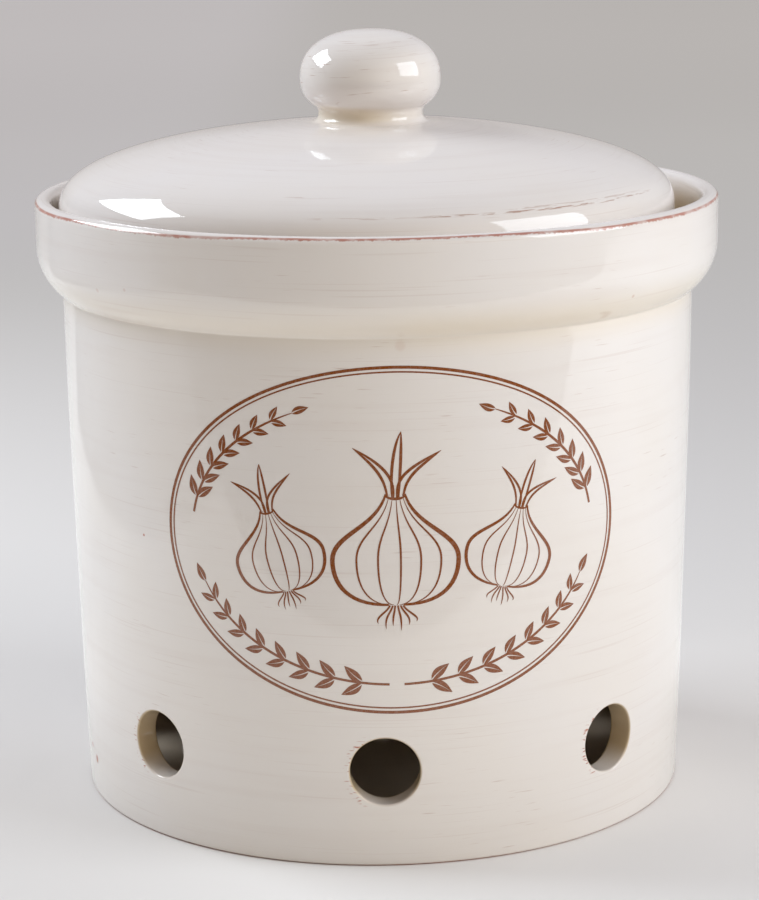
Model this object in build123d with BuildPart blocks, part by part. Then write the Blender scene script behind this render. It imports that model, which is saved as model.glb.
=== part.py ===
from build123d import *
import math
import os

# A vented stoneware keeper for onions or garlic: a round crock with a collar
# and a ring of vent holes, and a lid that drops into the collar.
# Millimetres, +Z up. The origin is the centre of the foot, on the surface
# that the crock stands on. Each piece is one fired and glazed casting.

# ---- crock: overall sizes ----
collar_radius = 95.0      # outside of the collar, the widest place
crock_height = 167.6      # from the foot to the top of the rim
collar_height = 26.4      # from the rim down to the step into the wall
collar_step = 7.0         # how far the collar stands out from the wall
collar_curve = 16.3       # radius of the collar's rounded underside
wall_taper = 3.0          # how much narrower the wall is at the foot
wall_bulge = 0.4          # swell of the wall, outwards at half height

# ---- crock: walls and floor ----
wall = 6.5                # thickness of the side wall
floor_thickness = 5.0     # clay between the foot recess and the inside
floor_round = 8.0         # inside corner between the floor and the wall
foot_width = 9.0          # width of the ring that the crock stands on
foot_recess = 2.0         # height of the hollow under the floor

# ---- crock: rim and gallery ----
lip_width = 4.5           # width across the top of the rim
gallery_depth = 18.6      # from the top of the rim down to the ledge
gallery_draft = 0.9       # how much the gallery narrows on its way down
ledge_lip = 4.0           # thickness of the ledge at its inner edge
ledge_blend = 20.0        # height over which the ledge runs into the wall
ledge_bite = 0.6          # least width that the ledge keeps under the lid

# ---- vent holes ----
vent_count = 8
vent_radius = 9.2
vent_gap = 2.0            # from the floor's round up to the holes
vent_round = 0.6          # glazed edge of each hole, outside and inside

# ---- lid ----
lid_play = 3.9            # gap all round when the lid sits in the middle
lid_push = 0.7            # part of the play that is used up towards -X
lid_wall = 5.5            # thickness of the dome and its skirt
skirt_height = 14.7       # upright part of the lid above the ledge
shoulder_radius = 11.5    # the dome is three tangent arcs, radii in mm
shoulder_sweep = 60.5     # degrees that the shoulder turns through
flank_radius = 61.0       # the flank turns on until the top arc is a sphere
dome_radius = 290.0       # centred on the lid's axis

# ---- knob, hollow and in one piece with the lid ----
knob_radius = 19.6
knob_crown = 13.8         # from the widest place up to the top
knob_power = 2.35         # exponent of the crown: 2 is an ellipse
knob_under = 8.0          # radius of the turn below the widest place
neck_radius = 14.5
neck_hollow = 2.1         # radius of the waist between the knob and the lid
neck_height = 2.6         # from the dome up to the narrowest place
neck_flare = 2.2          # blend of the neck into the dome
knob_wall = 5.0

# ---- rounded edges ----
rim_round = min(2.0, 0.45 * lip_width)
step_round = 0.8
foot_round = 1.0
ledge_corner = 2.0
ledge_round = 1.2
lid_edge_round = 1.5
blend_round = 6.0

# ---- sizes that follow ----
body_radius = collar_radius - collar_step
foot_radius = body_radius - wall_taper
step_height = crock_height - collar_height
collar_turn = step_height + math.sqrt(collar_curve**2 - (collar_curve - collar_step) ** 2)
gallery_radius = collar_radius - lip_width - gallery_draft
ledge_height = crock_height - gallery_depth
lid_radius = gallery_radius - lid_play
lid_offset = lid_push * lid_play
ledge_radius = lid_radius - lid_edge_round - lid_play - ledge_bite - ledge_round
floor_height = foot_recess + floor_thickness
vent_height = floor_height + floor_round + vent_gap + vent_radius


shoulder_centre = Vector(lid_radius - shoulder_radius, ledge_height + skirt_height)
shoulder_arm = Vector(flank_radius - shoulder_radius, 0)
flank_centre = shoulder_centre - shoulder_arm.rotate(Axis.Z, shoulder_sweep)
flank_end = math.degrees(math.acos(flank_centre.X / (dome_radius - flank_radius)))
flank_arm = Vector(dome_radius - flank_radius, 0)
dome_centre = flank_centre - flank_arm.rotate(Axis.Z, flank_end)


def dome_height(radius, inset=0):
    """Height of the dome's top arc at a radius, or of the one an inset below it."""
    return dome_centre.Y + math.sqrt((dome_radius - inset) ** 2 - radius**2)


def dome_line(inner, inset=0):
    """The dome's outline from its skirt to an inner radius, moved in by an inset."""
    end = math.degrees(math.acos(inner / (dome_radius - inset)))
    CenterArc(shoulder_centre, shoulder_radius - inset, 0, shoulder_sweep)
    CenterArc(flank_centre, flank_radius - inset, shoulder_sweep, flank_end - shoulder_sweep)
    CenterArc(dome_centre, dome_radius - inset, flank_end, end - flank_end)


def crown_line(radius, height, middle, steps=12):
    """The outline of the knob's crown from its widest place to the axis."""
    points = []
    for i in range(steps + 1):
        angle = math.pi / 2 * i / steps
        x = radius * max(math.cos(angle), 0.0) ** (2 / knob_power)
        y = middle + height * math.sin(angle) ** (2 / knob_power)
        points.append((x, y))
    Spline(*points, tangents=[(0, 1), (-1, 0)])


def nearest(vertices, point):
    """The corner of a section that lies at a point."""
    return vertices.sort_by_distance(Vector(*point))[0]


# ---- crock ----
foot_edge = (foot_radius, 0)
step_edge = (body_radius, step_height)
rim_outer = (collar_radius, crock_height)
rim_inner = (collar_radius - lip_width, crock_height)
gallery_foot = (gallery_radius, ledge_height)
ledge_edge = (ledge_radius, ledge_height)
ledge_under = (ledge_radius, ledge_height - ledge_lip)
blend_end = (body_radius - wall, ledge_height - ledge_lip - ledge_blend)
floor_corner = (foot_radius - wall, floor_height)
recess_corner = (foot_radius - foot_width, foot_recess)
foot_inner = (foot_radius - foot_width, 0)

# The section turns half a hole's spacing away from a hole, so that the seam
# of the revolved wall lies between two holes.
section_plane = Plane.XZ.rotated((0, 0, 180 / vent_count))

with BuildPart() as crock:
    with BuildSketch(section_plane) as section:
        with BuildLine():
            SagittaArc(foot_edge, step_edge, -wall_bulge)
            turn = (collar_radius - collar_curve, collar_turn)
            sweep = math.degrees(math.acos((collar_curve - collar_step) / collar_curve))
            CenterArc(turn, collar_curve, -sweep, sweep)
            Polyline((collar_radius, collar_turn), rim_outer, rim_inner, gallery_foot, ledge_edge)
            Polyline(ledge_edge, ledge_under, blend_end, floor_corner, (0, floor_height))
            Polyline((0, floor_height), (0, foot_recess), recess_corner, foot_inner, foot_edge)
        make_face()
        rounded = [
            (foot_edge, foot_round),
            (step_edge, step_round),
            (rim_outer, rim_round),
            (rim_inner, rim_round),
            (gallery_foot, ledge_corner),
            (ledge_edge, ledge_round),
            (ledge_under, ledge_round),
            (blend_end, blend_round),
            (floor_corner, floor_round),
            (recess_corner, foot_round),
            (foot_inner, foot_round),
        ]
        for point, radius in rounded:
            fillet(nearest(section.vertices(), point), radius)
    revolve(axis=Axis.Z)
    for i in range(vent_count):
        angle = math.radians(360 * i / vent_count)
        outward = (math.sin(angle), -math.cos(angle), 0)
        with BuildSketch(Plane(origin=(0, 0, vent_height), z_dir=outward)):
            Circle(vent_radius)
        extrude(amount=collar_radius, mode=Mode.SUBTRACT)
    vent_edges = [e for e in crock.edges() if e.length < 3 * math.pi * vent_radius]
    vent_edges = [e for e in vent_edges if abs(e.center().Z - vent_height) < vent_radius]
    fillet(vent_edges, vent_round)

crock.part.label = "crock"

# ---- lid ----
# The knob's outline: crown, turn below, waist, and the same lines again
# inside, moved in by the knob's wall.
neck_middle = dome_height(neck_radius) + neck_height
waist_centre = (neck_radius + neck_hollow, neck_middle)
turn_x = knob_radius - knob_under
reach_x = waist_centre[0] - turn_x
reach_y = math.sqrt((knob_under + neck_hollow) ** 2 - reach_x**2)
turn_centre = (turn_x, neck_middle + reach_y)
lean = math.degrees(math.atan2(reach_y, reach_x))
knob_top = turn_centre[1] + knob_crown
bore_radius = neck_radius - knob_wall
skirt_top = shoulder_centre.Y
skirt_inside = lid_radius - lid_wall
neck_foot = (neck_radius, dome_height(neck_radius))
bore_foot = (bore_radius, dome_height(bore_radius, lid_wall))

lid_plane = Plane(origin=(-lid_offset, 0, 0), x_dir=(1, 0, 0), z_dir=(0, -1, 0))
lid_axis = Axis((-lid_offset, 0, 0), (0, 0, 1))

with BuildPart() as lid:
    with BuildSketch(lid_plane) as section:
        with BuildLine():
            Polyline((skirt_inside, skirt_top), (skirt_inside, ledge_height), (lid_radius, ledge_height))
            Line((lid_radius, ledge_height), (lid_radius, skirt_top))
            dome_line(neck_radius)
            Line(neck_foot, (neck_radius, neck_middle))
            CenterArc(waist_centre, neck_hollow, 180, -lean)
            CenterArc(turn_centre, knob_under, -lean, lean)
            crown_line(knob_radius, knob_crown, turn_centre[1])
            Line((0, knob_top), (0, knob_top - knob_wall))
            crown_line(knob_radius - knob_wall, knob_crown - knob_wall, turn_centre[1])
            CenterArc(turn_centre, knob_under - knob_wall, -lean, lean)
            CenterArc(waist_centre, neck_hollow + knob_wall, 180, -lean)
            Line((bore_radius, neck_middle), bore_foot)
            dome_line(bore_radius, lid_wall)
        make_face()
        rounded = [
            ((lid_radius, ledge_height), lid_edge_round),
            ((skirt_inside, ledge_height), lid_edge_round),
            (neck_foot, neck_flare),
            (bore_foot, neck_flare),
        ]
        for point, radius in rounded:
            fillet(nearest(section.vertices(), point), radius)
    revolve(axis=lid_axis)

lid.part.label = "lid"

# ---- files ----
os.makedirs("parts", exist_ok=True)
export_step(crock.part, "parts/crock.step")
export_step(lid.part, "parts/lid.step")

print("overall height", round(knob_top, 2), "mm, across the collar", 2 * collar_radius, "mm")
print("lid radius", lid_radius, "ledge from", round(ledge_radius, 2), "to", gallery_radius)
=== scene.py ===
"""Looks of a vented, glazed keeper for onions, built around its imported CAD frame.

Lengths are millimetres, except in the settings and on the stage, and become metres
where a mesh is made.
The crock's axis is Z, the printed front faces -Y, and the foot stands on Z = 0.
"""

import math
from functools import partial

import bpy
from bpy.props import FloatProperty, FloatVectorProperty, IntProperty, PointerProperty
from mathutils import Euler, Matrix, Vector, noise


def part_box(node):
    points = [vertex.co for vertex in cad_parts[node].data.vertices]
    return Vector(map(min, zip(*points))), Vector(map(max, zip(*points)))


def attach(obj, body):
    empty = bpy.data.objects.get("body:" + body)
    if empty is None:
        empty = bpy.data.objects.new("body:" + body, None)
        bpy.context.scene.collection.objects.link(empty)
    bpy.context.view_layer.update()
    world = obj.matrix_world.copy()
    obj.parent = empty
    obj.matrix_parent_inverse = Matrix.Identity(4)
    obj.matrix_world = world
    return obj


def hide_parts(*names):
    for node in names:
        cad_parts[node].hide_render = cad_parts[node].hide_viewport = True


bl_info = {
    "name": "Vented Onion Keeper",
    "version": (1, 0, 0),
    "blender": (4, 5, 0),
    "location": "View3D > Sidebar > Keeper",
    "description": "Builds a glazed, vented onion keeper around its CAD frame",
    "category": "Object",
}

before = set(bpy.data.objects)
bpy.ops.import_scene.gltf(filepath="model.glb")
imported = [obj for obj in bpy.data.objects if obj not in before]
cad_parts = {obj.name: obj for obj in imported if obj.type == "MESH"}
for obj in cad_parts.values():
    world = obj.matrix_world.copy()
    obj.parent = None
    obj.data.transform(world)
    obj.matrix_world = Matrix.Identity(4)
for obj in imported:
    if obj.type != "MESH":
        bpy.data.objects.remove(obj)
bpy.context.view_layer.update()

MM = 0.001


def millimetres(node):
    """Lowest and highest corner of a CAD node, in millimetres."""
    return [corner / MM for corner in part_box(node)]


def linear(code):
    """An sRGB hex colour as linear RGB."""
    channels = [int(code[i : i + 2], 16) / 255 for i in (1, 3, 5)]
    return tuple(c / 12.92 if c <= 0.04045 else ((c + 0.055) / 1.055) ** 2.4 for c in channels)


# ---------------------------------------------------------------- sizes

CROCK_LOW, CROCK_HIGH = millimetres("crock")
LID_LOW, LID_HIGH = millimetres("lid")

COLLAR_RADIUS = (CROCK_HIGH.x - CROCK_LOW.x) / 2
RIM_HEIGHT = CROCK_HIGH.z
LEDGE_HEIGHT = LID_LOW.z
LID_RADIUS = (LID_HIGH.x - LID_LOW.x) / 2
LID_CENTRE = (LID_HIGH.x + LID_LOW.x) / 2
KNOB_TOP = LID_HIGH.z

COLLAR_STEP = 7.0  # how far the collar stands out from the wall
COLLAR_HEIGHT = 26.4
COLLAR_CURVE = 16.3  # radius of the collar's underside
WALL = 6.5
WALL_TAPER = 3.0
WALL_BULGE = 0.4
LIP_WIDTH = 4.5
GALLERY_DRAFT = 0.9  # the gallery is the collar's inside above the ledge
LEDGE_RADIUS = 78.5
LEDGE_LIP = 4.0  # thickness of the ledge at its inner edge
FLOOR_HEIGHT = 7.0
FLOOR_FLAT = 68.0  # radius of the floor's evenly spaced rows
FOOT_WIDTH = 9.0
FOOT_RECESS = 2.0

BODY_RADIUS = COLLAR_RADIUS - COLLAR_STEP
FOOT_RADIUS = BODY_RADIUS - WALL_TAPER
STEP_HEIGHT = RIM_HEIGHT - COLLAR_HEIGHT
LIP_RADIUS = COLLAR_RADIUS - LIP_WIDTH
GALLERY_RADIUS = LIP_RADIUS - GALLERY_DRAFT
BLEND_HEIGHT = LEDGE_HEIGHT - 24.0  # where the ledge runs out into the inner wall
RECESS_RADIUS = FOOT_RADIUS - FOOT_WIDTH

RIM_ROUND = 2.0
LEDGE_CORNER = 2.0
LEDGE_ROUND = 1.2
BLEND_ROUND = 6.0
FLOOR_ROUND = 8.0
STEP_ROUND = 0.8
FOOT_ROUND = 1.0
RECESS_ROUND = 0.95  # it and the foot's rounding leave a little of the recess's wall

VENTS = 8
VENT_RADIUS = 9.2
VENT_HEIGHT = 26.2
VENT_ROUND = 0.6
VENT_EDGE = VENT_RADIUS + VENT_ROUND
VENT_CELLS = 14  # grid cells across and up the square patch round a hole
VENT_SHARES = (0.25, 0.5, 0.7, 0.85, 0.95, 1.0)  # the patch's rings, from square to round

LID_WALL = 5.5
LID_EDGE_ROUND = 1.5
DOME_BASE = LEDGE_HEIGHT + 13.3
DOME_RISE = 25.1
DOME_FLANK = 1.5
DOME_CROWN = 2.9
KNOB_RADIUS = 19.6
KNOB_CROWN = 13.8
KNOB_POWER = 2.35
KNOB_UNDER = 8.0
KNOB_WALL = 5.0
KNOB_SHIFT = 1.4  # the knob was stuck on a little to the right of the middle
KNOB_MIDDLE = KNOB_TOP - KNOB_CROWN
NECK_RADIUS = 14.5
NECK_HOLLOW = 2.1
NECK_FLARE = 2.2
NECK_FOOT = KNOB_MIDDLE - 8.8

CROCK_WANDER = (0.12, 45)  # how far out of round, over waves of what size
LID_WANDER = (0.10, 55)
ROW_SPACING = 3.7  # of the wall's rows above the vents
VENT_ROW_SPACING = 2.0
COLUMNS = 256  # round each turned piece, 32 to each vent

PRINT_RADIUS = 87.2  # wall radius on which the print's widths are measured
PRINT_FACE = 0.05  # how far the print's face lies outside the glaze
PRINT_BACK = -0.15  # its back lies in the wall, so no gap shows under it
SPRIG_INSET = 8.0

COLOUR = {"subtype": "COLOR", "size": 3, "min": 0, "max": 1}
LENGTH = {"subtype": "DISTANCE", "unit": "LENGTH"}


class KeeperGlaze(bpy.types.PropertyGroup):
    """Colours and gloss of the glaze."""

    cream: FloatVectorProperty(
        name="Cream", description="Glaze where it lies even", default=linear("#E7E1DE"), **COLOUR,
    )
    # down the gallery it is also laid as painted shade, deeper lower down
    pooled: FloatVectorProperty(
        name="Pooled", description="Glaze where it has run thick", default=linear("#E6CE9E"),
        **COLOUR,
    )
    # in the holes' bores it is also laid as painted shade, more of it towards their tops
    thin: FloatVectorProperty(
        name="Thin", description="Thinly brushed glaze, inside the crock and its holes",
        default=linear("#C2A982"), **COLOUR,
    )
    streak: FloatVectorProperty(
        name="Streak", description="Stain left in the brush strokes", default=linear("#A9816F"),
        **COLOUR,
    )
    stain: FloatVectorProperty(
        name="Stain", description="Rust specks, and flecks at the edges of the holes",
        default=linear("#AE5A38"), **COLOUR,
    )
    clay: FloatVectorProperty(
        name="Clay", description="Fired clay where the glaze is thin or missing",
        default=linear("#AE6650"), **COLOUR,
    )
    gloss: FloatProperty(
        name="Roughness", description="Roughness of the fired glaze", subtype="FACTOR",
        min=0, max=1, default=0.04,
    )


class KeeperPrint(bpy.types.PropertyGroup):
    """Size, place and colour of the printed oval."""

    ink: FloatVectorProperty(
        name="Ink", description="Ceramic colour of the print", default=linear("#84461C"), **COLOUR,
    )
    width: FloatProperty(
        name="Width", description="Width of the oval along the wall", default=126.8 * MM, **LENGTH,
    )
    height: FloatProperty(
        name="Height", description="Height of the oval", default=92.0 * MM, **LENGTH,
    )
    middle: FloatProperty(
        name="Middle", description="Height of the oval's centre", default=88.3 * MM, **LENGTH,
    )
    shift: FloatProperty(
        name="Shift", description="How far the oval sits to the right of the front",
        default=3.35 * MM, **LENGTH,
    )


class KeeperStage(bpy.types.PropertyGroup):
    """Floor, lamps and air of the studio."""

    paper: FloatVectorProperty(
        name="Paper", description="Floor colour by the object", default=linear("#D6D2CF"), **COLOUR,
    )
    # painted light: the far floor is drawn lighter, where the lamps hardly reach it
    far: FloatVectorProperty(
        name="Far paper", description="Floor colour far from the object",
        default=linear("#FFFDF7"), **COLOUR,
    )
    # painted light: the floor is drawn lighter here, where a reflector would throw light
    front: FloatVectorProperty(
        name="Front paper", description="Floor colour in front of the object, to the right",
        default=linear("#F0EDEA"), **COLOUR,
    )
    air: FloatProperty(
        name="Air", description="Strength of the soft light from all round", min=0, default=1.0,
    )
    left: FloatProperty(
        name="Left lamp", description="Light that the left softbox gives at the object",
        min=0, default=0.709,
    )
    right: FloatProperty(
        name="Right lamp", description="Light that the right softbox gives at the object",
        min=0, default=0.49,
    )


class KeeperSettings(bpy.types.PropertyGroup):
    """Everything that the keeper's operators read."""

    glaze: PointerProperty(type=KeeperGlaze, name="Glaze", description="The glaze")
    oval: PointerProperty(type=KeeperPrint, name="Print", description="The printed oval")
    stage: PointerProperty(type=KeeperStage, name="Stage", description="The studio")
    columns: IntProperty(
        name="Columns", description="Faces round each turned piece", min=64, default=COLUMNS,
    )


# ---------------------------------------------------------------- outlines


def arc(centre, radius, start, end, steps):
    """Points of an arc in the (radius, height) plane, from one angle to another in degrees."""
    points = []
    for i in range(steps + 1):
        angle = math.radians(start + (end - start) * i / steps)
        points.append((centre[0] + radius * math.cos(angle), centre[1] + radius * math.sin(angle)))
    return points


def rounded(corners, steps=8):
    """An outline of (radius, height[, rounding]) corners, each rounding drawn as an arc."""
    points = []
    for i, corner in enumerate(corners):
        if len(corner) < 3:
            points.append(tuple(corner))
            continue
        here = Vector(corner[:2])
        before = (Vector(corners[i - 1][:2]) - here).normalized()
        after = (Vector(corners[i + 1][:2]) - here).normalized()
        half = before.angle(after) / 2
        centre = here + (before + after).normalized() * corner[2] / math.sin(half)
        start = here + before * corner[2] / math.tan(half) - centre
        turn = start.angle_signed(here + after * corner[2] / math.tan(half) - centre)
        for j in range(steps + 1):
            spoke = start.copy()
            spoke.rotate(Matrix.Rotation(-turn * j / steps, 2))
            points.append(tuple(centre + spoke))
    return points


def spread(start, end, count):
    """Evenly spaced (radius, height) points between two, without the two."""
    a, b = Vector(start), Vector(end)
    return [tuple(a.lerp(b, i / (count + 1))) for i in range(1, count + 1)]


def wall_outside(height):
    """Radius of the crock's outer wall at a height."""
    share = height / STEP_HEIGHT
    return FOOT_RADIUS + WALL_TAPER * share + WALL_BULGE * 4 * share * (1 - share)


def wall_inside(height):
    """Radius of the crock's inner wall at a height below the ledge's blend."""
    low, high = FLOOR_HEIGHT, BLEND_HEIGHT
    return FOOT_RADIUS - WALL + WALL_TAPER * (height - low) / (high - low)


def dome(radius, reach, rise):
    """Height of the lid's dome at a radius."""
    return DOME_BASE + rise * (1 - (radius / reach) ** DOME_FLANK) ** (1 / DOME_CROWN)


def dome_points(reach, rise, inner, steps):
    """The dome from near its middle out to the skirt, closer together at the shoulder."""
    points = []
    for i in range(steps + 1):
        radius = inner + (reach - inner) * math.sin(math.pi / 2 * i / steps)
        points.append((radius, dome(radius, reach, rise)))
    return points


def crown_points(radius, height, steps):
    """The knob's crown from the axis out to its widest place."""
    points = []
    for i in range(steps):
        angle = math.pi / 2 * (1 - i / steps)
        x = radius * max(math.cos(angle), 0.0) ** (2 / KNOB_POWER)
        points.append((x, KNOB_MIDDLE + height * math.sin(angle) ** (2 / KNOB_POWER)))
    return points


def wander(point, amount, size):
    """A turned casting is never quite round: the point moved a little outwards or inwards.

    It moves less the nearer it is to the axis.
    """
    radial = Vector((point[0], point[1], 0))
    if radial.length < 1e-6:
        return point
    shift = amount * noise.noise(Vector(point) / size)
    return tuple(Vector(point) + radial.normalized() * shift * min(1, radial.length / 30))


def smooth(share):
    """0 to 1 with level ends."""
    share = min(max(share, 0.0), 1.0)
    return share * share * (3 - 2 * share)


def turned(radius, height, angle, centre=0.0):
    """A point at a radius and height, turned from the front (-Y) towards +X."""
    return (centre + radius * math.sin(angle), -radius * math.cos(angle), height)


# ---------------------------------------------------------------- meshes


def add_object(name, data):
    """An object of that data, linked to the scene."""
    made = bpy.data.objects.new(name, data)
    bpy.context.scene.collection.objects.link(made)
    return made


def make_object(name, points, faces, material, slot):
    """A mesh object from millimetre points, smooth except at sharp edges."""
    mesh = bpy.data.meshes.new(name)
    mesh.from_pydata([Vector(p) * MM for p in points], [], faces)
    mesh.validate()
    mesh.polygons.foreach_set("use_smooth", [True] * len(mesh.polygons))
    mesh.set_sharp_from_angle(angle=math.radians(50))
    mesh.materials.append(material)
    made = add_object(name, mesh)
    return made


def revolve(outline, centre, columns, skip=lambda row, column: False):
    """Points and faces of an outline turned about the axis; both its ends lie on the axis."""
    points = [turned(0, outline[0][1], 0, centre)]
    inner = outline[1:-1]
    angles = [2 * math.pi * c / columns for c in range(columns)]
    for radius, height in inner:
        points += [turned(radius, height, angle, centre) for angle in angles]
    points.append(turned(0, outline[-1][1], 0, centre))
    faces = []
    last = len(points) - 1
    for c in range(columns):
        d = (c + 1) % columns
        faces.append((0, 1 + c, 1 + d))
        faces.append((last, last - columns + d, last - columns + c))
        for row in range(len(inner) - 1):
            if not skip(row, c):
                a = 1 + row * columns
                faces.append((a + c, a + columns + c, a + columns + d, a + d))
    return points, faces


def crock_outline():
    """The crock's outline from the floor's middle over the rim to the foot's middle.

    Also returns the rows at which the vent patches start, inside and outside.
    """
    half = VENT_CELLS // 2
    step_in = (VENT_HEIGHT - FLOOR_HEIGHT - FLOOR_ROUND) / half
    rows_in = [VENT_HEIGHT + step_in * i for i in range(-half, half + 1)]
    rows_out = [VENT_HEIGHT + VENT_ROW_SPACING * i for i in range(-half, half + 1)]

    # the floor and its round, up to the first row of the inner patches
    floor = (0, FLOOR_HEIGHT)
    above = FLOOR_HEIGHT + FLOOR_ROUND + 0.2
    inside = rounded([
        floor, *spread(floor, (FLOOR_FLAT, FLOOR_HEIGHT), 11),
        (FOOT_RADIUS - WALL, FLOOR_HEIGHT, FLOOR_ROUND), (wall_inside(above), above),
    ])[:-1]
    start_in = len(inside) - 2

    # up the inner wall, over the ledge, the gallery and the rim, and down to the outer patches
    blend = (BODY_RADIUS - WALL, BLEND_HEIGHT)
    ledge_under = (LEDGE_RADIUS, LEDGE_HEIGHT - LEDGE_LIP)
    ledge_edge = (LEDGE_RADIUS, LEDGE_HEIGHT)
    gallery_foot = (GALLERY_RADIUS, LEDGE_HEIGHT)
    rim_inner, rim_outer = (LIP_RADIUS, RIM_HEIGHT), (COLLAR_RADIUS, RIM_HEIGHT)
    across = COLLAR_CURVE - COLLAR_STEP
    turn = (COLLAR_RADIUS - COLLAR_CURVE, STEP_HEIGHT + math.sqrt(COLLAR_CURVE**2 - across**2))
    sweep = math.degrees(math.acos(across / COLLAR_CURVE))
    corners = [(wall_inside(h), h) for h in rows_in[1:]]
    corners += spread(corners[-1], blend, 24)[:-1]
    corners += [
        (*blend, BLEND_ROUND),
        *spread(blend, ledge_under, 3)[1:],
        (*ledge_under, LEDGE_ROUND),
        (*ledge_edge, LEDGE_ROUND),
        *spread(ledge_edge, gallery_foot, 3),
        (*gallery_foot, LEDGE_CORNER),
        *spread(gallery_foot, rim_inner, 6)[1:-1],
        (*rim_inner, RIM_ROUND),
        (*rim_outer, RIM_ROUND),
        *spread(rim_outer, (COLLAR_RADIUS, turn[1]), 5)[1:],
        *arc(turn, COLLAR_CURVE, 0, -sweep, 14)[:-1],
        (BODY_RADIUS, STEP_HEIGHT, STEP_ROUND),
    ]
    wall_rows = [STEP_HEIGHT - 3.0 - ROW_SPACING * i for i in range(40)]
    corners += [(wall_outside(h), h) for h in wall_rows if h > rows_out[-1] + 2]
    outline = inside + rounded(corners + [(wall_outside(rows_out[-1]), rows_out[-1])])
    start_out = len(outline) - 2

    # through the outer patches to the foot ring and the recess in it
    corners = [(wall_outside(h), h) for h in (*reversed(rows_out[:-1]), 9.5, 6.5, 3.5)]
    recess, middle = (RECESS_RADIUS, FOOT_RECESS), (0, FOOT_RECESS)
    corners += [
        (FOOT_RADIUS, 0, FOOT_ROUND),
        (FOOT_RADIUS - FOOT_WIDTH / 2, 0),
        (RECESS_RADIUS, 0, FOOT_ROUND),
        (*recess, RECESS_ROUND),
        *spread(recess, middle, 12),
        middle,
    ]
    return outline + rounded(corners), start_in, start_out


def patch_border(first_row, middle_column, columns, upwards):
    """Indices of the square round a hole, anticlockwise from its lower left as seen outside."""
    half, cells = VENT_CELLS // 2, VENT_CELLS
    border = []
    for k in range(4 * cells):
        side, i = divmod(k, cells)
        column = (i, cells, cells - i, 0)[side] - half
        row = (0, i, cells, cells - i)[side]
        row = row if upwards else cells - row
        border.append(1 + (first_row + row) * columns + (middle_column + column) % columns)
    return border


def add_vent(points, faces, index, first_in, first_out, columns):
    """Joins the square openings in the two walls by a patch, a rounded edge and a bore."""
    angle = 2 * math.pi * index / VENTS
    middle = columns // VENTS * index
    out_border = patch_border(first_out, middle, columns, upwards=False)
    in_border = patch_border(first_in, middle, columns, upwards=True)
    count = len(out_border)
    axis = Vector((math.sin(angle), -math.cos(angle), 0))
    across = Vector((math.cos(angle), math.sin(angle), 0))
    spokes = [math.radians(-135 + 360 * k / count) for k in range(count)]
    rings = [out_border]

    def place(x, height, depth):
        return tuple(across * x + axis * depth + Vector((0, 0, height)))

    def on_wall(wall, x, height):
        return math.sqrt(wall(height) ** 2 - x * x)

    def add_ring(ring_points):
        rings.append(list(range(len(points), len(points) + count)))
        points.extend(ring_points)

    def patch(border, wall, shares):
        flat = [(Vector(points[i]).dot(across), points[i][2]) for i in border]
        for share in shares:
            ring = []
            for (x, height), spoke in zip(flat, spokes):
                x += (VENT_EDGE * math.cos(spoke) - x) * share
                height += (VENT_HEIGHT + VENT_EDGE * math.sin(spoke) - height) * share
                ring.append(place(x, height, on_wall(wall, x, height)))
            add_ring(ring)

    def edge_ring(wall, turn, inwards):
        ring = []
        radius = VENT_RADIUS + VENT_ROUND * (1 - math.sin(turn))
        for spoke in spokes:
            x, height = radius * math.cos(spoke), VENT_HEIGHT + radius * math.sin(spoke)
            depth = on_wall(wall, x, height) + inwards * VENT_ROUND * (1 - math.cos(turn))
            ring.append(place(x, height, depth))
        add_ring(ring)

    def bore_ring(share):
        ring = []
        for spoke in spokes:
            x, height = math.cos(spoke) * VENT_RADIUS, VENT_HEIGHT + math.sin(spoke) * VENT_RADIUS
            outer = on_wall(wall_outside, x, height) - VENT_ROUND
            inner = on_wall(wall_inside, x, height) + VENT_ROUND
            ring.append(place(x, height, outer * (1 - share) + inner * share))
        add_ring(ring)

    turns = [math.radians(15 * i) for i in range(1, 7)]
    patch(out_border, wall_outside, VENT_SHARES)
    for turn in turns:
        edge_ring(wall_outside, turn, -1)
    for share in (0.25, 0.5, 0.75):
        bore_ring(share)
    for turn in reversed(turns):
        edge_ring(wall_inside, turn, 1)
    patch(in_border, wall_inside, reversed(VENT_SHARES))
    rings.append(in_border)
    for outer, inner in zip(rings, rings[1:]):
        for k in range(count):
            m = (k + 1) % count
            faces.append((outer[k], outer[m], inner[m], inner[k]))


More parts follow.
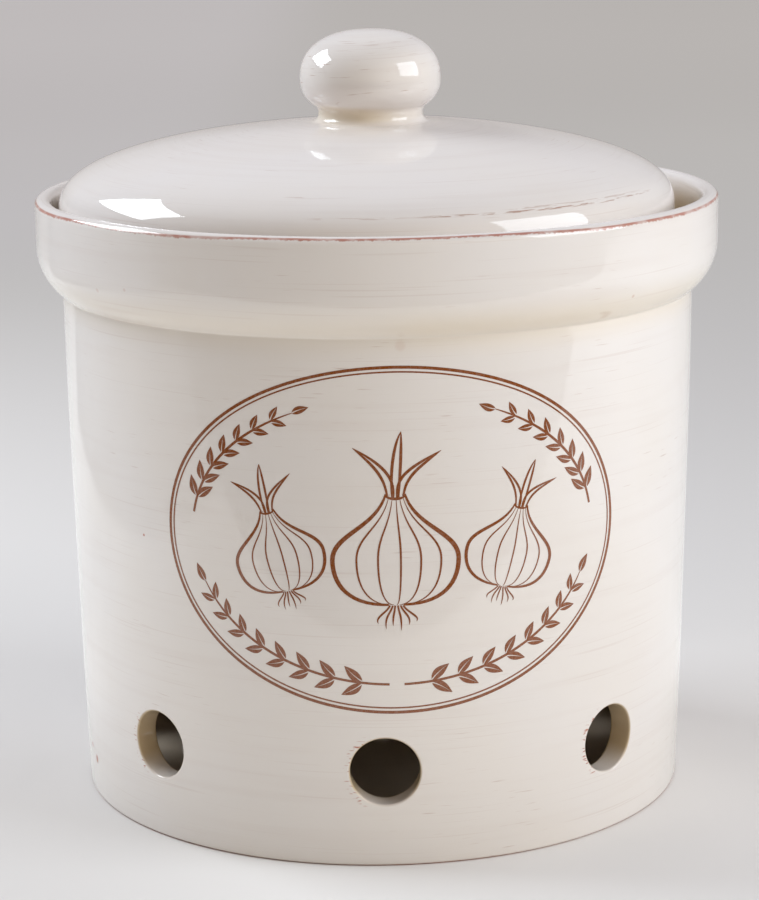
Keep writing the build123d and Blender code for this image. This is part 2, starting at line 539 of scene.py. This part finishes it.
def lid_outline():
    """The lid's outline from the knob's top over the skirt to the knob's hollow."""
    turn = (KNOB_RADIUS - KNOB_UNDER, KNOB_MIDDLE)
    across = NECK_RADIUS + NECK_HOLLOW - turn[0]
    drop = math.sqrt((KNOB_UNDER + NECK_HOLLOW) ** 2 - across**2)
    waist = (NECK_RADIUS + NECK_HOLLOW, KNOB_MIDDLE - drop)
    lean = math.degrees(math.atan2(drop, across))
    inner_reach, inner_rise = LID_RADIUS - LID_WALL, DOME_RISE - LID_WALL
    bore = NECK_RADIUS - KNOB_WALL
    outside = crown_points(KNOB_RADIUS, KNOB_CROWN, 28)
    outside += arc(turn, KNOB_UNDER, 0, -lean, 12)[:-1]
    outside += arc(waist, NECK_HOLLOW, 180 - lean, 180, 6)
    outside += rounded([
        outside[-1],
        (NECK_RADIUS, dome(NECK_RADIUS, LID_RADIUS, DOME_RISE), NECK_FLARE),
        *dome_points(LID_RADIUS, DOME_RISE, NECK_RADIUS + 3, 56),
        (LID_RADIUS, LEDGE_HEIGHT + 8),
        (LID_RADIUS, LEDGE_HEIGHT + 4),
        (LID_RADIUS, LEDGE_HEIGHT, LID_EDGE_ROUND),
        (inner_reach, LEDGE_HEIGHT, LID_EDGE_ROUND),
        (inner_reach, LEDGE_HEIGHT + 6),
        *reversed(dome_points(inner_reach, inner_rise, bore + 3, 28)),
        (bore, dome(bore, inner_reach, inner_rise), NECK_FLARE),
        (bore, waist[1]),
    ])[1:]
    hollow = arc(waist, NECK_HOLLOW + KNOB_WALL, 180, 180 - lean, 5)[1:]
    hollow += arc(turn, KNOB_UNDER - KNOB_WALL, -lean, 0, 5)[1:-1]
    hollow += reversed(crown_points(KNOB_RADIUS - KNOB_WALL, KNOB_CROWN - KNOB_WALL, 14))
    return outside + hollow


# ---------------------------------------------------------------- the print


def on_crock(u, height, painted_far_light):
    """A point of the print: u along the wall from the oval's centre, lifted off the wall."""
    oval = bpy.context.scene.keeper.oval
    angle = (u + oval.shift / MM) / PRINT_RADIUS
    height += oval.middle / MM
    point = wander(turned(wall_outside(height), height, angle), *CROCK_WANDER)
    out = Vector((point[0], point[1], 0)).normalized()
    return tuple(Vector(point) + out * painted_far_light)


def add_strip(mesh, left, right, closed=False):
    """Adds a thin closed strip between two lines of (u, height) points."""
    points, faces = mesh
    base, count = len(points), len(left)
    for painted_far_light in (PRINT_FACE, PRINT_BACK):
        points += [on_crock(*p, painted_far_light) for p in left]
        points += [on_crock(*p, painted_far_light) for p in right]
    a, b, c, d = (base + count * k for k in range(4))
    for i in range(count if closed else count - 1):
        j = (i + 1) % count
        faces += [(a + i, b + i, b + j, a + j), (c + i, c + j, d + j, d + i),
                  (a + i, a + j, c + j, c + i), (b + i, d + i, d + j, b + j)]
    if not closed:
        z = count - 1
        faces += [(a, c, d, b), (a + z, b + z, d + z, c + z)]


def sideways(line, i):
    """Unit vector to the left of a line at its i-th point."""
    before, after = Vector(line[max(i - 1, 0)]), Vector(line[min(i + 1, len(line) - 1)])
    way = (after - before).normalized()
    return Vector((-way.y, way.x))


def add_stroke(mesh, line, width, taper=(0.3, 0.3)):
    """Adds a pen stroke along a line, thinner towards its two ends."""
    left, right = [], []
    for i, point in enumerate(line):
        t = i / (len(line) - 1)
        swell = math.sin(math.pi * t) ** 0.7
        ends = taper[0] * (1 - t) + taper[1] * t
        half = width / 2 * (ends + (1 - ends) * swell)
        side = sideways(line, i) * half
        left.append(tuple(Vector(point) + side))
        right.append(tuple(Vector(point) - side))
    add_strip(mesh, left, right)


def bend(start, first, second, end, steps=24):
    """A line bent like a spline handle pair, from start to end."""
    a, b, c, d = (Vector(p) for p in (start, first, second, end))
    line = []
    for i in range(steps + 1):
        t = i / steps
        s = 1 - t
        line.append(tuple(a * s**3 + b * 3 * s * s * t + c * 3 * s * t * t + d * t**3))
    return line


def add_leaf(mesh, root, angle, length, width, rib_width=0.16, bow=0.10):
    """Adds an almond leaf, bowed a little, as two halves with a bare midrib between them."""
    way = Vector((math.cos(angle), math.sin(angle)))
    side = Vector((-way.y, way.x))
    for hand in (1, -1):
        rib, edge = [], []
        for i in range(11):
            t = i / 10
            swell = math.sin(math.pi * t**0.8)
            middle = Vector(root) + way * length * t + side * bow * width * swell
            rib.append(tuple(middle + side * hand * rib_width * (1 - t)))
            edge.append(tuple(middle + side * hand * (rib_width * (1 - t) + width / 2 * swell)))
        if hand > 0:
            rib, edge = edge, rib
        add_strip(mesh, rib, edge)


def on_oval(inset, angle):
    """A (u, height) point on the oval moved inwards, at an angle in radians."""
    oval = bpy.context.scene.keeper.oval
    a, b = oval.width / MM / 2 - inset, oval.height / MM / 2 - inset
    return (a * math.cos(angle), b * math.sin(angle))


def add_onion(mesh, centre, size, tilt):
    """Adds an onion: outline, ribs of the skin, roots and three cut leaves.

    Its lines are given from the middle of a bulb 31 wide, before they are scaled by size.
    """
    turn = Matrix.Rotation(math.radians(tilt), 2)

    def stroke(line, width, *taper):
        line = [tuple(Vector(centre) + turn @ (Vector(p) * size)) for p in line]
        add_stroke(mesh, line, width * size, *taper)

    for reach in (1.0, 0.72, 0.4, 0.08, -0.28, -0.62, -1.0):
        w = 15.5 * reach
        low = bend((w * 0.12, -12.4), (w * 0.75, -12.4), (w, -7.5), (w, -1.2), 14)
        high = bend((w, -1.2), (w, 5.4), (w * 0.30, 7.0), (w * 0.15, 15.5), 18)
        if abs(reach) == 1.0:
            stroke(low + high[1:], 1.15, (0.5, 0.4))
        else:
            stroke(low + high[1:], 0.5, (0.1, 0.1))
    roots = ((-3.4, 4.6), (-1.9, 6.0), (-0.6, 5.2), (0.9, 6.4), (2.4, 5.0), (3.8, 4.2))
    for lean, length in roots:
        line = bend((lean * 0.45, -12.6), (lean * 0.7, -14.5), (lean * 1.6, -15.5),
                    (lean * 1.3, -12.6 - length), 10)
        stroke(line, 0.5, (0.9, 0.1))
    for x, lean, tip in ((-1.2, -9.0, 27.0), (0.0, 1.5, 31.0), (1.2, 10.0, 26.0)):
        for offset in (-0.75, 0.75):
            line = bend((x + offset, 14.6), (x + offset * 1.6, 20.0),
                        (x + lean * 0.35 + offset * 1.5, tip - 4), (x + lean, tip), 16)
            stroke(line, 0.75, (0.6, 0.15))
    stroke(bend((-2.4, 14.9), (-1.2, 14.1), (1.2, 14.1), (2.4, 14.9), 8), 0.7)


def add_sprig(mesh, start, end, leaves, size):
    """Adds a leafy twig that follows the oval's inside between two angles in degrees."""
    steps = 4 * leaves
    angles = [math.radians(start + (end - start) * i / steps) for i in range(steps + 1)]
    stem = [on_oval(SPRIG_INSET, angle) for angle in angles]
    add_stroke(mesh, stem, 0.7, (0.9, 0.3))
    for n in range(1, leaves):
        side = sideways(stem, 4 * n)
        heading = math.atan2(-side.x, side.y)
        grown = size * (1 - 0.35 * n / leaves)
        for hand in (1, -1):
            root = tuple(Vector(stem[4 * n]) + side * hand * 0.4)
            add_leaf(mesh, root, heading + hand * 0.62, 6.4 * grown, 2.5 * grown)
    side = sideways(stem, steps)
    add_leaf(mesh, stem[-1], math.atan2(-side.x, side.y), 5.2 * size, 2.0 * size)


# ---------------------------------------------------------------- materials

GLAZE_IOR = 1.52  # that of a glassy glaze
BARE_ROUGHNESS = 0.7  # what fired clay has over the glaze
PRINT_FINISH = "ceramic_transfer_iron_brown"


def add_node(tree, kind, inputs=(), out=0, **settings):
    """Adds a shader node with its settings, sets or links its inputs, and returns an output.

    Inputs go by name or number, or else in order. Without an out it returns all outputs.
    """
    node = tree.nodes.new("ShaderNode" + kind)
    for key, value in settings.items():
        setattr(node, key, value)
    for key, value in inputs.items() if isinstance(inputs, dict) else enumerate(inputs):
        if isinstance(value, bpy.types.NodeSocket):
            tree.links.new(value, node.inputs[key])
        else:
            node.inputs[key].default_value = value
    return node.outputs if out is None else node.outputs[out]


def empty_nodes(owner):
    """Clears the nodes of a material or world, and gives the function that adds one to it."""
    owner.use_nodes = True
    owner.node_tree.nodes.clear()
    return partial(add_node, owner.node_tree)


def cover(node, *shares):
    """How strongly a layer covers: its shares multiplied.

    A share is a number, an output, or an output's (value, low, high, start, end), which
    eases from start, or 0, at low to end, or 1, at high.
    """
    strength = None
    for share in shares:
        if isinstance(share, tuple):
            share = node("MapRange", share, interpolation_type="SMOOTHSTEP")
        if strength is not None:
            share = node("Math", (strength, share), operation="MULTIPLY")
        strength = share
    return strength


def lay(node, under, over, *shares):
    """A colour with another one laid over it by some shares."""
    return node("Mix", {0: cover(node, *shares), 6: under, 7: over}, out=2, data_type="RGBA")


def glaze_material(name, centre, busy, bare, pools, gallery=None, wear=None, holes=False,
                   marks=(), specks=()):
    """Cream glaze brushed over stained earthenware and fired glossy.

    The glaze mirrors the room sharply, carries faint pink-brown brush lines
    round the piece, most of them above the height called busy, is tan where it
    has pooled, carries painted shade down a gallery and painted light and shade
    in the holes' bores, and breaks to pink clay on a rim.
    """
    settings = bpy.context.scene.keeper.glaze
    cream, pooled, thin, streak, stain, clay = (
        (*getattr(settings, key), 1)
        for key in ("cream", "pooled", "thin", "streak", "stain", "clay")
    )
    material = bpy.data.materials.new(name)
    node = empty_nodes(material)

    # millimetres from the piece's own axis
    place = node("VectorMath", {0: node("TexCoord", out="Object"), 3: 1 / MM}, operation="SCALE")
    place = node("VectorMath", (place, (centre, 0, 0)), operation="SUBTRACT")
    x, y, height = node("SeparateXYZ", (place,), out=None)
    flat = node("CombineXYZ", (x, y))
    radius = node("VectorMath", (flat,), out="Value", operation="LENGTH")
    profile = node("CombineXYZ", (radius, height))
    azimuth = node("Math", (y, -1), operation="MULTIPLY")
    azimuth = node("Math", (x, azimuth), operation="ARCTAN2")
    along = node("Math", (radius, height), operation="SUBTRACT")
    swept = node("CombineXYZ", (x, y, along))

    def brushed(length, width, detail):
        """Noise drawn out round the piece: strokes of that length and width."""
        shrink = (1 / length, 1 / length, 1 / width)
        strokes = node("VectorMath", (swept, shrink), operation="MULTIPLY")
        return node("TexNoise", {"Vector": strokes, "Scale": 1, "Detail": detail,
                                 "Roughness": 0.55})

    def near(where, centre, inner, outer):
        """Covers all within a distance of a centre, and nothing beyond another."""
        away = node("VectorMath", (where, centre), out="Value", operation="DISTANCE")
        return (away, inner, outer, 1, 0)

    # soft clouds where the glaze is a little thicker
    tone = node("TexNoise", {"Vector": place, "Scale": 1 / 35, "Detail": 2})
    colour = lay(node, cream, pooled, (tone, 0.3, 0.7), 0.05)

    # the broken brush lines come in patches, and everywhere at the piece's top
    patches = node("TexNoise", {"Vector": place, "Scale": 1 / 30, "Detail": 1})
    patches = cover(node, (patches, 0.48, 0.64))
    top = cover(node, (height, busy - 1, busy, 0, 2))
    patches = node("Math", (patches, top), operation="MAXIMUM")
    # length, width and detail of the strokes, the noise at their edges and in their
    # middles, and how strongly they cover
    for length, width, detail, low, high, *shares in (
        (9.0, 0.5, 1, 0.67, 0.80, patches, 0.34),  # broken lines, 5 to 12 mm long
        (38.0, 0.45, 0, 0.68, 0.86, 0.12),  # hair lines
        (60.0, 3.5, 1, 0.48, 0.75, 0.04),  # the soft bands that a loaded brush leaves
    ):
        strokes = (brushed(length, width, detail), low, high)
        colour = lay(node, colour, streak, strokes, *shares)

    # single long strokes that broke up: radius, height, start and end in degrees, strength
    for line_radius, line_height, start, end, strength in marks:
        line = near(profile, (line_radius, line_height, 0), 0.15, 0.45)
        begun = (azimuth, math.radians(start - 3), math.radians(start + 3))
        ended = (azimuth, math.radians(end - 12), math.radians(end + 3), 1, 0)
        broken = (brushed(5.0, 0.5, 2), 0.47, 0.56)
        colour = lay(node, colour, streak, line, begun, ended, broken, strength)
    # iron specks that melted through: their place, radius and strength
    for *middle, size, strength in specks:
        colour = lay(node, colour, stain, near(place, middle, 0.4 * size, size), strength)

    if holes:
        # the wall laid flat round the nearest hole
        half = math.pi / VENTS
        across = node("Math", (azimuth, half, -half), operation="WRAP")
        across = node("Math", (across, radius), operation="MULTIPLY")
        away = node("CombineXYZ", (across, height))
        away = node("VectorMath", (away, (0, VENT_HEIGHT, 0)), out="Value", operation="DISTANCE")
        # flecks where the knife dragged the outer edges of the holes, on their left sides
        colour = lay(
            node, colour, stain,
            (away, VENT_EDGE - 0.8, VENT_EDGE - 0.3),
            (away, VENT_EDGE + 0.3, VENT_EDGE + 1.7, 1, 0),
            (across, -6.5, -4.0, 1, 0),
            (radius, FOOT_RADIUS - 0.7, FOOT_RADIUS),
            (brushed(2.2, 0.5, 1), 0.58, 0.68),
            0.85,
        )
        # thin and brown in the bores; painted light makes their lowest part paler, painted shade
        # their tops browner
        colour = lay(node, colour, thin, (away, VENT_RADIUS + 0.1, VENT_EDGE, 1, 0),
                     (height, VENT_HEIGHT - 9, VENT_HEIGHT - 4, 0.2, 0.85))

    # tan where the glaze has pooled in a crease: radius, height, reach, and strength
    # on the left and the right
    for crease_radius, crease_height, inner, outer, left, right in pools:
        crease = near(profile, (crease_radius, crease_height, 0), inner, outer)
        colour = lay(node, colour, pooled, crease, (x, -2, 12, left, right))
    if gallery:
        # and pooled deeper the further down the gallery, which also paints the shade that falls
        # there: the gallery's radius, the height at which it is deepest, and the one above which
        # there is none
        reach, low, high = gallery
        within = node("Math", (radius, reach), operation="LESS_THAN")
        colour = lay(node, colour, pooled, (height, low, high, 1, 0), within,
                     (height, LEDGE_HEIGHT - 4, LEDGE_HEIGHT, 0, 0.85))
        # thin and brown on the inside below the ledge
        foot, top = (wall_inside(h) + 0.9 for h in (FLOOR_HEIGHT, BLEND_HEIGHT))
        wall = node("MapRange", (height, FLOOR_HEIGHT, BLEND_HEIGHT, foot, top),
                    interpolation_type="SMOOTHSTEP")
        within = node("Math", (radius, wall), operation="LESS_THAN")
        colour = lay(node, colour, thin, (height, LEDGE_HEIGHT - 10, LEDGE_HEIGHT, 0.6, 0), within)

    if wear:
        # clay showing along the rim's outer rounding, ragged on its lower side: the
        # rounding's centre, and the angles in degrees between which it shows
        round_radius, round_height, low, high = wear
        spoke = node("VectorMath", (profile, (round_radius, round_height, 0)), operation="SUBTRACT")
        outwards, upwards, _ = node("SeparateXYZ", (spoke,), out=None)
        angle = node("Math", (upwards, outwards), operation="ARCTAN2")
        drift = node("TexNoise", {"Vector": place, "Scale": 1 / 35, "Detail": 0})
        drift = node("MapRange", (drift, 0, 1, -0.25, 0.25))
        sides = node("Math", (x,), operation="ABSOLUTE")
        sides = cover(node, (sides, 20, 60, 0, math.radians(20)))
        for shift in (drift, sides):
            angle = node("Math", (angle, shift), operation="ADD")
        ragged = node("TexNoise", {"Vector": place, "Scale": 1 / 0.9, "Detail": 2})
        ragged = node("MapRange", (ragged, 0, 1, -0.275, 0.275))
        ragged = node("Math", (angle, ragged), operation="ADD")
        uneven = node("TexNoise", {"Vector": place, "Scale": 1 / 5, "Detail": 2})
        colour = lay(
            node, colour, clay, (ragged, math.radians(low), math.radians(low + 12)),
            (angle, math.radians(high - 5), math.radians(high + 5), 1, 0),
            (outwards, 0, 0.4), (uneven, 0.35, 0.6, 0.5, 0.85),
        )

    # the ring that stood on the kiln shelf has no glaze
    low, high, top = bare
    ring = cover(node, (radius, low - 0.3, low), (radius, high, high + 0.3, 1, 0),
                 (height, top, top + 0.25, 1, 0))
    colour = lay(node, colour, clay, ring)
    roughness = node("Math", (ring, BARE_ROUGHNESS, settings.gloss), operation="MULTIPLY_ADD")

    # the brush left ridges that the glaze only softened
    waves = node("TexNoise", {"Vector": place, "Scale": 1 / 14, "Detail": 1})
    relief = node("Math", (brushed(45.0, 3.0, 1), 0.5, waves), operation="MULTIPLY_ADD")
    bump = node("Bump", {"Strength": 0.2, "Distance": 0.06 * MM, "Height": relief})
    shader = node("BsdfPrincipled", {"Base Color": colour, "Roughness": roughness,
                                     "IOR": GLAZE_IOR, "Normal": bump})
    node("OutputMaterial", (shader,), out=None)
    return material


def print_material():
    """Ceramic transfer: iron-brown colour fired under the same clear gloss as the glaze.

    All the printed pieces share it.
    """
    if PRINT_FINISH in bpy.data.materials:
        return bpy.data.materials[PRINT_FINISH]
    keeper = bpy.context.scene.keeper
    material = bpy.data.materials.new(PRINT_FINISH)
    node = empty_nodes(material)
    # the screen's dots are 0.2 mm; drawn at 0.6 mm so that the ink looks a little uneven
    dots = node("TexCoord", out="Object")
    dots = node("TexNoise", {"Vector": dots, "Scale": 1 / (0.6 * MM), "Detail": 2})
    dots = node("MapRange", (dots, 0.35, 0.75, 0, 0.1))
    colour = lay(node, (*keeper.oval.ink, 1), (*keeper.glaze.cream, 1), dots)
    shader = node("BsdfPrincipled", {"Base Color": colour, "Roughness": keeper.glaze.gloss,
                                     "IOR": GLAZE_IOR})
    node("OutputMaterial", (shader,), out=None)
    return material


# ---------------------------------------------------------------- the stage, in metres

FLOOR_REACH = 8.0
AIM_HEIGHT = 0.12  # height on the axis at which the lamps' strengths are given

# soft light from windows and walls, the most of it from the front right: the side
# that it comes from and its linear colour
AIR = (
    ((0, 0, 1), (0.25, 0.275, 0.36)),
    ((0, 1, 0), (0.485, 0.44, 0.415)),
    ((1, 0, 0), (0.07, 0.12, 0.16)),
    ((0.6, -0.8, 0), (0.665, 0.51, 0.265)),
)
AIR_SEEN = (0.43, 0.42, 0.40, 1)

# place, azimuth, elevation and roll in degrees, width and height, linear colour
SOFTBOXES = {
    "left": ((-0.617, 0.227, 0.634), (-105.2, 27.2, -7.1), (0.525, 0.317), (0.877, 0.945, 1.0)),
    "right": ((0.952, -0.347, 0.608), (62.7, 16.5, -6.4), (0.702, 0.617), (0.843, 0.914, 1.0)),
}

CAMERA_BACK = 0.76191  # from the axis
CAMERA_HEIGHT = 0.26545
CAMERA_FACING = (-0.32, 12.77, -0.69901)  # azimuth, elevation and roll in degrees
CAMERA_LENS = 109.53  # mm, on a sensor of 36 mm


def facing(azimuth, elevation, roll):
    """Rotation of a camera or lamp that looks down at the object from a direction."""
    aim = Euler((math.radians(90 - elevation), 0, math.radians(azimuth))).to_matrix()
    return (aim @ Matrix.Rotation(math.radians(roll), 3, "Z")).to_euler()


def paper_material(stage):
    """Matt paper: no gloss, so it keeps only soft shadows.

    The camera sees it pale, with painted light that makes it lighter with distance,
    in front to the right and at its far end. Painted shade makes it light the object a
    little less from close by. In the glaze's reflections it is painted dark in front
    like the edge of a table, half as bright far to the left, and a little darker behind.
    """
    material = bpy.data.materials.new("matt_paper_floor")
    node = empty_nodes(material)
    place = node("TexCoord", out="Object")
    away = node("VectorMath", (place,), out="Value", operation="LENGTH")
    rays = node("LightPath", out=None)
    mirrored = rays["Is Glossy Ray"]

    def past(x, y, start, width, most=1):
        """Covers the floor beyond a line: x and y are the direction over it."""
        along = node("VectorMath", (place, (x, y, 0)), out="Value", operation="DOT_PRODUCT")
        return (along, start, start + width, 0, most)

    # painted light: lighter with distance, where the lamps hardly reach
    seen = lay(node, (*stage.paper, 1), (*stage.far, 1), (away, 0.4, 1.7))
    # painted light: lighter in front to the right, where a reflector would throw light
    seen = lay(node, seen, (*stage.front, 1), past(1, 0, -0.12, 0.17), past(0, -1, -0.14, 0.24))
    # painted light: the flat paper is drawn lighter far off, and a little bluer far to the left, as
    # if it curved up there
    painted_far_light = lay(node, (1, 1, 1, 1), (1.09, 1.09, 1.13, 1), past(-1, 0, 0, 0.2), (away, 0.8, 1.3))
    painted_far_light = node("VectorMath", {0: painted_far_light, 3: cover(node, (away, 1.2, 3.0, 1, 1.11))},
                operation="SCALE")
    seen = node("VectorMath", (seen, painted_far_light), operation="MULTIPLY")

    # painted reflections: only the glaze sees the floor half as bright far to the left, dark beyond
    # a line in front, and a little darker behind
    left = cover(node, past(-1, 0, 0.33, 0.04, 0.5), past(-1.15, -1, 0, 0.03))
    front = cover(node, past(0, -1, 0.255, 0.02, 0.9))
    dark = node("Math", (left, front), operation="MAXIMUM")
    dark = cover(node, dark, mirrored)
    behind = cover(node, past(0, 1, 0, 0.2), mirrored)
    # painted shade: close by the object the floor gives it less light, 0.73 against 0.97 further
    # out
    given = cover(node, (away, 0.09, 0.17, 0.73, 0.97), (dark, 0, 1, 1, 0), (behind, 0, 1, 1, 0.8))
    given = node("VectorMath", (given, (1.02, 1.0, 0.955)), operation="MULTIPLY")

    colour = lay(node, given, seen, rays["Is Camera Ray"])
    shader = node("BsdfDiffuse", (colour,))
    node("OutputMaterial", (shader,), out=None)
    return material


def studio_air(strength):
    """A world that is soft light from a few sides, and plain grey to the camera."""
    world = bpy.data.worlds.new("studio_air")
    node = empty_nodes(world)
    toward = node("TexCoord", out="Generated")
    glow = (0, 0, 0)
    for direction, colour in AIR:
        share = node("VectorMath", (toward, direction), out="Value", operation="DOT_PRODUCT")
        share = node("Math", (share, 0), operation="MAXIMUM")
        glow = node("VectorMath", (share, colour, glow), operation="MULTIPLY_ADD")
    glow = lay(node, glow, AIR_SEEN, node("LightPath", out="Is Camera Ray"))
    air = node("Background", (glow, strength))
    node("OutputWorld", (air,), out=None)
    return world


# ---------------------------------------------------------------- operators


class KEEPER_OT_crock(bpy.types.Operator):
    """Build the crock with its collar, ledge and vent holes"""

    bl_idname = "keeper.crock"
    bl_label = "Crock"

    def execute(self, context):
        columns = context.scene.keeper.columns
        outline, first_in, first_out = crock_outline()
        half, spacing = VENT_CELLS // 2, columns // VENTS

        def in_patch(row, column):
            beside = (column + half) % spacing < VENT_CELLS
            return beside and any(a <= row < a + VENT_CELLS for a in (first_in, first_out))

        points, faces = revolve(outline, 0.0, columns, in_patch)
        for index in range(VENTS):
            add_vent(points, faces, index, first_in, first_out, columns)
        points = [wander(p, *CROCK_WANDER) for p in points]
        material = glaze_material(
            "brushed_cream_glaze_on_earthenware_crock", 0.0, busy=RIM_HEIGHT + 1, holes=True,
            bare=(RECESS_RADIUS + 0.4, FOOT_RADIUS - 0.4, 0.25),
            pools=[(BODY_RADIUS + 2.5, STEP_HEIGHT + 2.5, 0.0, 10.0, 0.2, 0.3)],
            # the gallery's pooled glaze deepens downward, partly as painted shade
            gallery=(LIP_RADIUS + 0.4, LEDGE_HEIGHT + 5, RIM_HEIGHT),
            wear=(COLLAR_RADIUS - RIM_ROUND, RIM_HEIGHT - RIM_ROUND, 33, 61),
            specks=(
                (-73.0, -59.6, 149.7, 0.8, 0.2), (-65.2, -68.5, 151.2, 0.6, 0.2),
                (65.4, -66.7, 147.5, 0.7, 0.3), (5.0, -87.9, 139.3, 1.8, 0.12),
                (-82.5, -22.5, 13.5, 1.2, 0.6), (-81.0, -27.5, 10.8, 1.7, 0.8),
                (-62.9, -60.4, 84.3, 0.5, 0.8),
            ),
        )
        crock = make_object("crock_casting", points, faces, material, "crock_glaze")
        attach(crock, "crock")
        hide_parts("crock")
        return {"FINISHED"}


class KEEPER_OT_lid(bpy.types.Operator):
    """Build the domed lid and its knob"""

    bl_idname = "keeper.lid"
    bl_label = "Lid"

    def execute(self, context):
        points, faces = revolve(lid_outline(), LID_CENTRE, context.scene.keeper.columns)
        foot = DOME_BASE + DOME_RISE - LID_WALL
        points = [(x + KNOB_SHIFT * smooth((z - foot) / LID_WALL), y, z) for x, y, z in points]
        points = [wander(p, *LID_WANDER) for p in points]
        material = glaze_material(
            "brushed_cream_glaze_on_earthenware_lid", LID_CENTRE, busy=NECK_FOOT + 3,
            bare=(LID_RADIUS - LID_WALL + 0.6, LID_RADIUS - 0.6, LEDGE_HEIGHT + 0.35),
            pools=[(NECK_RADIUS, NECK_FOOT, 0.5, 3.6, 0.4, 0.1)],
            marks=((83.3, 170.7, -9, 10, 0.35), (83.2, 170.8, 10, 66, 0.8),
                   (82.5, 171.5, 26, 62, 0.4), (77.1, 175.2, -15, -3, 0.3)),
        )
        lid = make_object("lid_casting", points, faces, material, "lid_glaze")
        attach(lid, "lid")
        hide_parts("lid")
        return {"FINISHED"}


class KEEPER_OT_border(bpy.types.Operator):
    """Print the oval's double line"""

    bl_idname = "keeper.border"
    bl_label = "Print border"

    def execute(self, context):
        mesh = ([], [])
        angles = [2 * math.pi * i / 240 for i in range(240)]
        for inset, width in ((0.0, 0.8), (1.4, 0.4)):
            inner, outer = ([on_oval(i, angle) for angle in angles] for i in (inset + width, inset))
            add_strip(mesh, inner, outer, closed=True)
        material = print_material()
        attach(make_object("print_border", *mesh, material, "print"), "crock")
        return {"FINISHED"}


class KEEPER_OT_onions(bpy.types.Operator):
    """Print three onions with cut leaves"""

    bl_idname = "keeper.onions"
    bl_label = "Print onions"

    def execute(self, context):
        mesh = ([], [])
        add_onion(mesh, (0, -3.5), 1.05, 0)
        add_onion(mesh, (-30.5, -4.0), 0.78, 14)
        add_onion(mesh, (30.5, -4.0), 0.78, -14)
        material = print_material()
        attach(make_object("print_onions", *mesh, material, "print"), "crock")
        return {"FINISHED"}


class KEEPER_OT_sprigs(bpy.types.Operator):
    """Print the leafy twigs that follow the oval"""

    bl_idname = "keeper.sprigs"
    bl_label = "Print sprigs"

    def execute(self, context):
        mesh = ([], [])
        for start, end, leaves, size in (
            (-92, -160, 9, 1.0), (-88, -20, 9, 1.0), (172, 118, 8, 0.9), (8, 62, 8, 0.9),
        ):
            add_sprig(mesh, start, end, leaves, size)
        material = print_material()
        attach(make_object("print_sprigs", *mesh, material, "print"), "crock")
        return {"FINISHED"}


class KEEPER_OT_stage(bpy.types.Operator):
    """Set the paper floor, the two softboxes, the soft air and the camera"""

    bl_idname = "keeper.stage"
    bl_label = "Stage"

    def execute(self, context):
        scene, stage = context.scene, context.scene.keeper.stage
        mesh = bpy.data.meshes.new("floor")
        angles = [math.pi * i / 48 for i in range(96)]
        rim = [(FLOOR_REACH * math.cos(a), FLOOR_REACH * math.sin(a), 0) for a in angles]
        mesh.from_pydata(rim, [], [tuple(range(96))])
        mesh.materials.append(paper_material(stage))
        floor = add_object("floor", mesh)
        scene.world = studio_air(stage.air)

        for side, (place, look, size, colour) in SOFTBOXES.items():
            lamp = bpy.data.lights.new("softbox_" + side, "AREA")
            lamp.shape = "RECTANGLE"
            lamp.size, lamp.size_y = size
            lamp.color = colour
            reach = Vector(place) - Vector((0, 0, AIM_HEIGHT))
            lamp.energy = getattr(stage, side) * 4 * math.pi * reach.length_squared
            holder = add_object(lamp.name, lamp)
            holder.location = place
            holder.rotation_euler = facing(*look)

        camera = bpy.data.cameras.new("camera")
        camera.sensor_width = 36
        camera.lens = CAMERA_LENS
        eye = add_object("camera", camera)
        eye.location = turned(CAMERA_BACK, CAMERA_HEIGHT, math.radians(CAMERA_FACING[0]))
        eye.rotation_euler = facing(*CAMERA_FACING)
        scene.camera = eye
        scene.view_settings.view_transform = "Standard"
        return {"FINISHED"}


class KEEPER_PT_panel(bpy.types.Panel):
    """Sidebar panel that lists the keeper's operators and settings"""

    bl_idname = "KEEPER_PT_panel"
    bl_label = "Onion Keeper"
    bl_space_type = "VIEW_3D"
    bl_region_type = "UI"
    bl_category = "Keeper"

    def draw(self, context):
        settings = context.scene.keeper
        for operator in OPERATORS:
            self.layout.operator(operator.bl_idname)
        for group in (settings.glaze, settings.oval, settings.stage):
            for name in group.__annotations__:
                self.layout.prop(group, name)


OPERATORS = (KEEPER_OT_crock, KEEPER_OT_lid, KEEPER_OT_border, KEEPER_OT_onions,
             KEEPER_OT_sprigs, KEEPER_OT_stage)
CLASSES = (KeeperGlaze, KeeperPrint, KeeperStage, KeeperSettings, *OPERATORS, KEEPER_PT_panel)


def register():
    for group in CLASSES:
        bpy.utils.register_class(group)
    bpy.types.Scene.keeper = PointerProperty(
        type=KeeperSettings, name="Keeper", description="Settings of the keeper",
    )


def unregister():
    del bpy.types.Scene.keeper
    for group in reversed(CLASSES):
        bpy.utils.unregister_class(group)


def main():
    register()
    bpy.ops.keeper.crock()
    bpy.ops.keeper.lid()
    bpy.ops.keeper.border()
    bpy.ops.keeper.onions()
    bpy.ops.keeper.sprigs()
    bpy.ops.keeper.stage()


if __name__ == "__main__":
    main()
